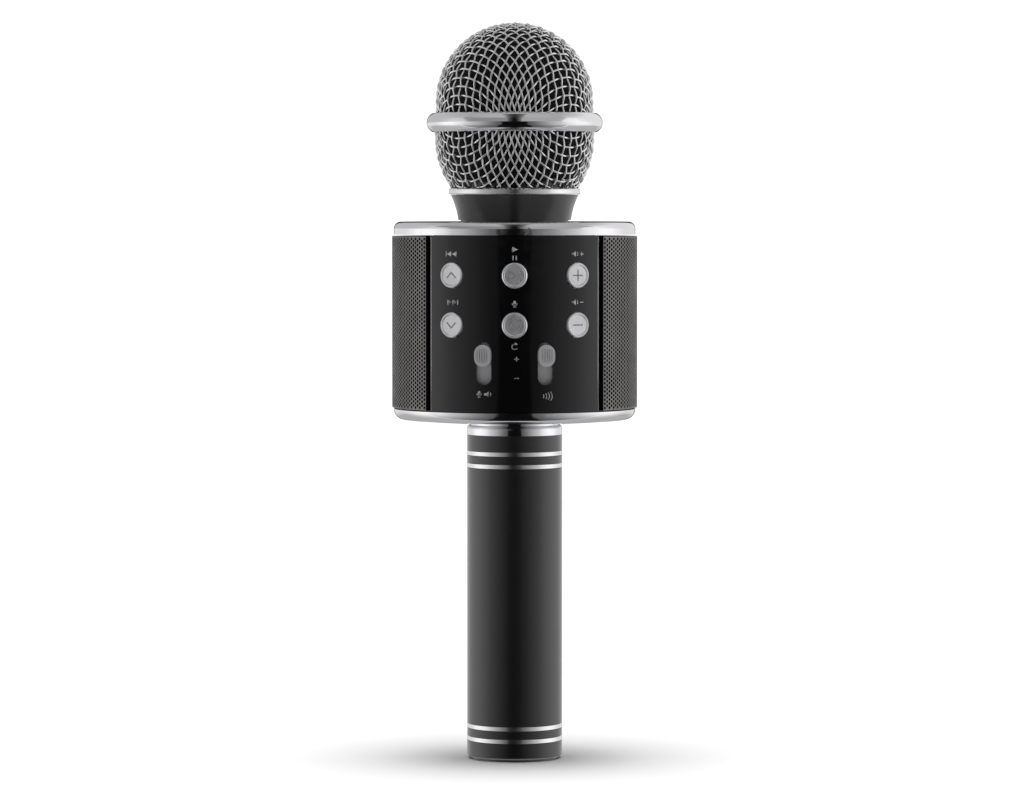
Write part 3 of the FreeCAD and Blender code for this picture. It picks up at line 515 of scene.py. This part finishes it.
# ---- Printed and engraved signs ----------------------------------------------------------------------
SIDE_ANGLE = 30.8      # side columns of buttons, degrees from the front
SLIDER_ANGLE = 14.7
PAINTED_HIGHLIGHT_ANGLE = 43.2      # painted highlight: bright silver lines along the panel's upright edges
PANEL_R = 38.3
BUTTON_ANGLES = {"previous": -SIDE_ANGLE, "play": 0, "volume_up": SIDE_ANGLE,
                 "next": -SIDE_ANGLE, "replay": 0, "volume_down": SIDE_ANGLE, "power": 180}
BUTTON_FACE = 38.75    # distance of the dished faces from the axis
INK = 0.03             # height of the print over the panel
FILL = 0.02            # height of the dark fill over a button's face
ROOT = 0.02            # how far both go in under the surface


def ribbon(path, widths):
    """Outline of a flat stroke along a path; widths is one width or a list of them."""
    path = np.asarray(path, float)
    if not hasattr(widths, "__len__"):
        widths = [widths] * len(path)
    along = np.gradient(path, axis=0)
    along /= np.linalg.norm(along, axis=1)[:, None]
    across = np.stack((-along[:, 1], along[:, 0]), axis=1)
    half = np.array(widths)[:, None] / 2
    return path + across * half, path - across * half


def stroke_mesh(strokes, place, thick):
    """Thin raised strokes; place(x, y, w) gives the point at height w over the surface."""
    pieces = []
    for path, widths in strokes:
        left, right = ribbon(path, widths)
        count = len(left)
        points = [place(x, y, w) for w in (thick, -ROOT) for side in (left, right) for x, y in side]
        faces = []
        for k in range(count - 1):
            l0, l1, r0, r1 = k, k + 1, count + k, count + k + 1
            faces.append((l0, r0, r1, l1))
            faces.append(tuple(2 * count + i for i in (l1, r1, r0, l0)))
            faces.append((l1, 2 * count + l1, 2 * count + l0, l0))
            faces.append((r0, 2 * count + r0, 2 * count + r1, r1))
        faces.append((0, 2 * count, 3 * count, count))
        faces.append((2 * count - 1, 4 * count - 1, 3 * count - 1, count - 1))
        pieces.append((points, faces))
    return joined(pieces)


def line(x0, y0, x1, y1, width=0.3, steps=4):
    """Straight stroke: its path and width."""
    return [(x0 + (x1 - x0) * k / steps, y0 + (y1 - y0) * k / steps) for k in range(steps + 1)], width


def arc(x, y, radius, start, end, width=0.3, steps=14):
    """Round stroke about (x, y), angles in degrees: its path and width."""
    angles = [math.radians(start + (end - start) * k / steps) for k in range(steps + 1)]
    return [(x + radius * math.cos(a), y + radius * math.sin(a)) for a in angles], width


def wedge(x0, x1, y, tall):
    """Filled triangle from a base at x0 to a point at x1."""
    steps = 5
    return ([(x0 + (x1 - x0) * k / steps, y) for k in range(steps + 1)],
            [tall * (1 - k / steps) + 0.02 for k in range(steps + 1)])


def speaker_sign(x, y):
    """Small loudspeaker with one sound wave."""
    return [([(x - 1.1, y), (x - 0.5, y), (x - 0.45, y), (x + 0.35, y)], [0.7, 0.7, 0.75, 1.9]),
            arc(x + 0.3, y, 0.75, -50, 50, 0.24)]


def microphone_sign(x, y):
    """Small microphone on a stand."""
    body = [(x, y - 0.2 + 1.2 * k / 8) for k in range(9)]
    return [(body, [0.35, 0.72, 0.8, 0.8, 0.8, 0.8, 0.8, 0.72, 0.35]),
            arc(x, y + 0.2, 0.75, -180, 0, 0.22), line(x, y - 0.5, x, y - 1.0, 0.24),
            line(x - 0.45, y - 1.0, x + 0.45, y - 1.0, 0.22)]


def middle_height(node):
    """Height of the middle of a CAD node's box."""
    low, high = mm_box(node)
    return (low[2] + high[2]) / 2


def panel_strokes():
    """Signs printed beside the controls, and the painted highlight lines along the panel's upright edges:
    (angle, height, strokes).
    """
    top, lower = middle_height("play_button"), middle_height("replay_button")
    slot = top - 27.7      # about the middle of the slider slots
    across = line(-0.75, 0, 0.75, 0)
    back = [line(-2.1, -0.85, -2.1, 0.85, 0.32), wedge(-0.2, -1.9, 0, 1.8), wedge(1.7, 0.0, 0, 1.8)]
    ahead = [([(-x, y) for x, y in path], width) for path, width in back]
    start = [wedge(-0.8, 1.0, 0, 1.9)]
    pause = [line(x, -0.75, x, 0.75, 0.36) for x in (-0.5, 0.5)]
    loop = [arc(0, 0, 0.85, 60, 330, 0.28), ([(0.05, 0.86), (0.5, 0.86), (0.95, 0.86)], [1.1, 0.6, 0.02])]
    echo = [arc(-1.3 + 0.55 * k, 0, 0.7 + 0.35 * k, -52, 52, 0.26) for k in range(4)]
    quieter = speaker_sign(-0.9, 0) + [line(0.9, 0, 2.3, 0)]
    louder = quieter + [line(1.6, -0.7, 1.6, 0.7)]
    tall = mm_box("front_panel")[1][2] - middle_height("front_panel") - 0.4
    # painted highlight: a silver line down each upright edge of the panel
    edge = [line(0, -tall, 0, tall, 0.5)]
    return [
        (-PAINTED_HIGHLIGHT_ANGLE, middle_height("front_panel"), edge),
        (PAINTED_HIGHLIGHT_ANGLE, middle_height("front_panel"), edge),
        (-SIDE_ANGLE, top + 6.7, back),
        (0, top + 8.1, start),
        (0, top + 5.5, pause),
        (SIDE_ANGLE, top + 6.7, louder),
        (-SIDE_ANGLE, lower + 7.1, ahead),
        (0, lower + 6.7, microphone_sign(0, 0)),
        (SIDE_ANGLE, lower + 7.1, quieter),
        (0, lower - 6.7, loop),
        (0.9, slot + 1.6, [across, line(0, -0.75, 0, 0.75)]),
        (0.9, slot - 4.4, [across]),
        (-SLIDER_ANGLE, slot - 9.4, microphone_sign(-1.4, 0) + speaker_sign(1.3, 0)),
        (SLIDER_ANGLE, slot - 10.0, echo),
    ]


def on_panel(angle, height, radius):
    """Place function for strokes that follow the panel's curve."""
    def place(x, y, w):
        a = math.radians(angle) + x / radius
        return ((radius + w) * math.sin(a), -(radius + w) * math.cos(a), height + y)
    return place


def on_button(angle, height, radius):
    """Place function for strokes on a button's flat face."""
    a = math.radians(angle)

    def place(x, y, w):
        out = radius + w
        return (out * math.sin(a) + x * math.cos(a), -out * math.cos(a) + x * math.sin(a), height + y)
    return place


def button_strokes():
    """Dark fill of the signs engraved in the buttons."""
    bar = 0.34
    turn, _ = arc(0, 0, 1.7, 60, 360, bar, 30)
    tip = turn[0]
    return {
        "previous": [([(-1.5, -0.7), (0, 0.9), (1.5, -0.7)], bar)],
        "next": [([(-1.5, 0.7), (0, -0.9), (1.5, 0.7)], bar)],
        "volume_up": [line(-1.6, 0, 1.6, 0, bar), line(0, -1.6, 0, 1.6, bar)],
        "volume_down": [line(-1.6, 0, 1.6, 0, bar)],
        "play": [wedge(-1.75, 0.15, 0, 2.9)] + [line(x, -1.4, x, 1.4, bar) for x in (0.95, 1.9)],
        "replay": [(turn, bar), line(*tip, tip[0] - 0.2, tip[1] - 1.0, bar),
                   line(*tip, tip[0] + 1.0, tip[1] + 0.1, bar)],
        "power": [arc(0, 0, 1.6, -230, 50, bar, 24), line(0, 0.4, 0, 2.0, bar)],
    }


def make_signs():
    """The print on the panel, together with the painted highlight lines along its edges, as one piece, and
    the dark fill in each button as one.
    """
    pieces = []
    for angle, z, strokes in panel_strokes():
        pieces.append(stroke_mesh(strokes, on_panel(angle, z, PANEL_R), INK))
    prints = paint(mesh_object("panel_signs_and_painted_highlights", *joined(pieces)), "silver_ink")
    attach(prints, "body")
    for name, strokes in button_strokes().items():
        place = on_button(BUTTON_ANGLES[name], middle_height(name + "_button"), BUTTON_FACE)
        sign = mesh_object(name + "_sign", *stroke_mesh(strokes, place, FILL))
        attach(paint(sign, "sign"), name + "_key")


# ---- Pieces ------------------------------------------------------------------------------------------
CUP_RISE = 16.05       # from the cup's foot to where its wall is upright
CUP_BEND = 27.5        # radius of the curve between them
UNDER_BAND = 1.5       # how far the wires run in under the polished band
DOME_CELLS, CUP_CELLS = 17, 18   # cells of the weave from the pole along each direction
FOAM_WALL = 3.6
FOAM_SKIN = 0.15       # room for the uneven skin inside the CAD shape
FOAM_FOOT = 0.2        # the same at the foot
BRIM = 6.7             # depth under the dome's centre where the foam begins to narrow
NEAR_POLE = 0.002      # angle left open at the pole of the foam, in radians


def make_grilles():
    """Woven dome and cup in place of the plain CAD shells."""
    band = mm_box("grille_band")
    cup_low, cup_high = mm_box("grille_cup")
    dome_high = mm_box("grille_dome")[1]
    skin = 2 * WIRE_R
    wall, cup_wall = dome_high[0] - skin, cup_high[0] - skin
    dome = Shell(dome_high[2] - dome_high[0], wall, wall, 1)
    cup = Shell(cup_low[2] + CUP_RISE, cup_wall, CUP_BEND - skin, -1)
    low, high = band[0][2] + UNDER_BAND, band[1][2] - UNDER_BAND
    upper = weave("woven_dome", dome, DOME_CELLS, lambda z: z > high)
    lower = weave("woven_cup", cup, CUP_CELLS, lambda z: cup_low[2] + 0.05 < z < low)
    for obj, node in ((upper, "grille_dome"), (lower, "grille_cup")):
        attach(paint(obj, "woven_wire"), "head")
        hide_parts(node)


def quarter_arc(radius, centre, start, end, count):
    """Outline points (r, z) of an arc about the axis at height centre, angles in radians."""
    return [(radius * math.cos(a), centre + radius * math.sin(a)) for a in np.linspace(start, end, count)]


def make_foam():
    """Foam liner: the CAD shape with an uneven, cellular skin."""
    low, high = mm_box("foam_windscreen")
    outer, foot = high[0] - FOAM_SKIN, low[2] + FOAM_FOOT
    centre = high[2] - high[0]
    inner, brim = outer - FOAM_WALL, centre - BRIM
    pole = math.pi / 2 - NEAR_POLE
    side = ((23.3, 14.2), (22.55, 9.2), (21.9, 5.6), (20.4, 2.2), (18.9, 0))   # radius, height over the foot
    outline = quarter_arc(outer, centre, pole, 0, 60) + [(outer, brim + 3), (outer, brim)]
    outline += [(r, foot + z) for r, z in side] + [(17.7, foot), (17.7, foot + 3.7), (inner, brim)]
    outline += quarter_arc(inner, centre, 0, pole, 30)
    foam = lathe("foam_liner", outline, 240)
    texture = bpy.data.textures.new("foam_cells", "CLOUDS")
    texture.noise_scale = 0.0012
    bumpy = foam.modifiers.new("cells", "DISPLACE")
    bumpy.texture = texture
    bumpy.texture_coords = "LOCAL"
    bumpy.strength = 0.0003
    bumpy.mid_level = 0.6
    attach(paint(foam, "foam"), "head")
    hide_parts("foam_windscreen")


def make_painted_grip_highlight():
    """Painted highlight: a lighter grey ring round the foot of the grip, a hair proud of its chamfer, in
    place of the light the chamfer catches.
    """
    low, high = mm_box("handle_tube")
    r, foot = high[0], low[2]
    proud, near, far = 0.04, 0.06, 0.54    # height over the chamfer, and its ends across it
    edge = lathe("painted_grip_highlight", [(r - far + proud, foot + near - proud),
                               (r - near + proud, foot + far - proud),
                               (r - 0.3, foot + far), (r - far, foot + 0.3)])
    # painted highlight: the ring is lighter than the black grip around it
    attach(paint(edge, "grey_plastic"), "body")


def make_speaker_grilles():
    """Perforated sheets in place of the plain CAD plates."""
    for side, middle in (("right", 0.0), ("left", math.pi)):
        sheet = perforated_sheet(side + "_grille_sheet", middle)
        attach(paint(sheet, "perforated_sheet"), "body")
        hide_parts(side + "_speaker_mesh")


# ---- Stage -------------------------------------------------------------------------------------------
def flat_sheet(name, points, colour, rough):
    """One flat face that belongs to the stage."""
    mesh = bpy.data.meshes.new(name)
    mesh.from_pydata(points, [], [tuple(range(len(points)))])
    obj = bpy.data.objects.new(name, mesh)
    bpy.context.scene.collection.objects.link(obj)
    obj.data.materials.append(material(name, colour, rough=rough, vary=0.01, patch=2.0, bump=0.0))
    return obj


def grey_ramp(tree, value, stops):
    """Brightness along a value, from (position, brightness) pairs. It is halved here, because a ramp holds
    up to 1, and the background's strength doubles it again."""
    ramp = add(tree, "ValToRGB")
    while len(ramp.color_ramp.elements) < len(stops):
        ramp.color_ramp.elements.new(0.5)
    for element, (position, bright) in zip(ramp.color_ramp.elements, stops):
        element.position = position
        element.color = (bright / 2, bright / 2, bright / 2, 1)
    tree.links.new(value, ramp.inputs["Fac"])
    return ramp.outputs["Color"]


def blend_to(tree, factor, first, second):
    """Mixes two brightnesses. Each is a socket, or a number, which is halved like a ramp's."""
    mix = add(tree, "Mix", data_type="RGBA")
    tree.links.new(factor, mix.inputs["Factor"])
    for key, value in (("A", first), ("B", second)):
        if isinstance(value, (int, float)):
            mix.inputs[key].default_value = (value / 2, value / 2, value / 2, 1)
        else:
            tree.links.new(value, mix.inputs[key])
    return mix.outputs["Result"]


# Brightness of the room by direction: 0 is the front (-Y), 0.5 the sides, 1 the back.
LEVEL_ROOM = ((0.0, 0.004), (0.0185, 0.006), (0.0235, 0.1), (0.043, 0.14), (0.095, 0.28), (0.165, 0.46),
              (0.25, 0.62), (0.36, 0.93), (0.5, 1.12), (0.64, 1.12), (0.81, 0.85), (0.985, 0.8),
              (0.995, 0.05), (1.0, 0.02))
UPPER_ROOM = ((0.0, 0.006), (0.0033, 0.01), (0.005, 0.42), (0.2, 0.42), (0.27, 0.5), (0.31, 0.95),
              (0.5, 1.1), (0.7, 0.85), (0.985, 0.8), (0.995, 0.05), (1.0, 0.02))
LOWER_ROOM = LEVEL_ROOM[:9] + ((0.7, 0.9), (0.85, 0.5), (1.0, 0.45))
HIGH_ROOM = ((0.0, 0.03), (0.0033, 0.04), (0.005, 0.48), (0.15, 0.42), (1.0, 0.42))
LEFT_SHADE = 0.68      # the upper room is this much dimmer on the left
CAMERA_SEES = 1.12     # brightness of the backdrop itself
AMBIENT = 0.3          # brightness for all light that isn't a reflection


def calculate(tree, operation, *values):
    """Math node; each value is a socket or a number."""
    node = add(tree, "Math", operation=operation)
    for place, value in zip(node.inputs, values):
        if isinstance(value, (int, float)):
            place.default_value = value
        else:
            tree.links.new(value, place)
    return node.outputs["Value"]


def studio_world():
    """White room. Reflections see it dark straight in front of the microphone and bright at its sides."""
    world = bpy.data.worlds.new("studio")
    bpy.context.scene.world = world
    world.use_nodes = True
    world.cycles.sampling_method = "NONE"
    tree = world.node_tree
    background = tree.nodes["Background"]
    split = add(tree, "SeparateXYZ")
    tree.links.new(add(tree, "TexCoord").outputs["Generated"], split.inputs[0])
    across, back, height = split.outputs
    level = calculate(tree, "SUBTRACT", 1.0, calculate(tree, "MULTIPLY", across, across))
    turn = between(tree, back, -0.5, 0.5, -0.02, 0.02)
    share = calculate(tree, "MULTIPLY_ADD", turn, calculate(tree, "SQRT", level), 0.5)
    upper = add(tree, "Mix", data_type="RGBA", blend_type="MULTIPLY")
    upper.inputs["B"].default_value = (LEFT_SHADE, LEFT_SHADE, LEFT_SHADE, 1)
    tree.links.new(between(tree, across, 1.0, 0.0, -0.06, 0.06), upper.inputs["Factor"])
    tree.links.new(grey_ramp(tree, share, UPPER_ROOM), upper.inputs["A"])
    rise = between(tree, height, 0.0, 1.0, 0.0, 0.012)
    room = blend_to(tree, rise, grey_ramp(tree, share, LEVEL_ROOM), upper.outputs["Result"])
    rise = between(tree, height, 0.0, 1.0, 0.55, 0.85)
    room = blend_to(tree, rise, room, grey_ramp(tree, share, HIGH_ROOM))
    fall = between(tree, height, 1.0, 0.0, -0.3, -0.1)
    room = blend_to(tree, fall, room, grey_ramp(tree, share, LOWER_ROOM))
    path = add(tree, "LightPath")
    seen = blend_to(tree, path.outputs["Is Glossy Ray"], AMBIENT, room)
    seen = blend_to(tree, path.outputs["Is Camera Ray"], seen, CAMERA_SEES)
    tree.links.new(seen, background.inputs["Color"])
    background.inputs["Strength"].default_value = 2.0


def overhead_light():
    """Wide light straight above; it casts the soft shadow round the foot and stays out of reflections."""
    lamp = bpy.data.lights.new("overhead", "SUN")
    lamp.angle = math.radians(34)
    lamp.energy = 2.95
    above = bpy.data.objects.new("overhead", lamp)
    above.visible_glossy = False
    bpy.context.scene.collection.objects.link(above)


def make_stage():
    """Pale floor, room and light."""
    far = 6.0
    corners = [(-far, -far, 0), (far, -far, 0), (far, far, 0), (-far, far, 0)]
    floor = flat_sheet("floor", corners, (0.93, 0.93, 0.93), 0.8)
    floor.visible_glossy = False
    studio_world()
    overhead_light()


def make_camera():
    """Camera in front of the panel, a little above it."""
    lens = bpy.data.cameras.new("camera")
    lens.sensor_width = 36.0
    lens.lens = 163.8
    eye = bpy.data.objects.new("camera", lens)
    bpy.context.scene.collection.objects.link(eye)
    aim = Vector((0.00012, 0, 0.1149))
    eye.location = (aim.x, -1.5, 0.1787)
    eye.rotation_euler = (aim - eye.location).to_track_quat("-Z", "Y").to_euler()
    lens.clip_start, lens.clip_end = 0.05, 50.0
    bpy.context.scene.camera = eye
    bpy.context.scene.view_settings.view_transform = "Standard"


dress_cad()
make_grilles()
make_foam()
make_speaker_grilles()
make_painted_grip_highlight()
make_signs()
make_stage()
make_camera()
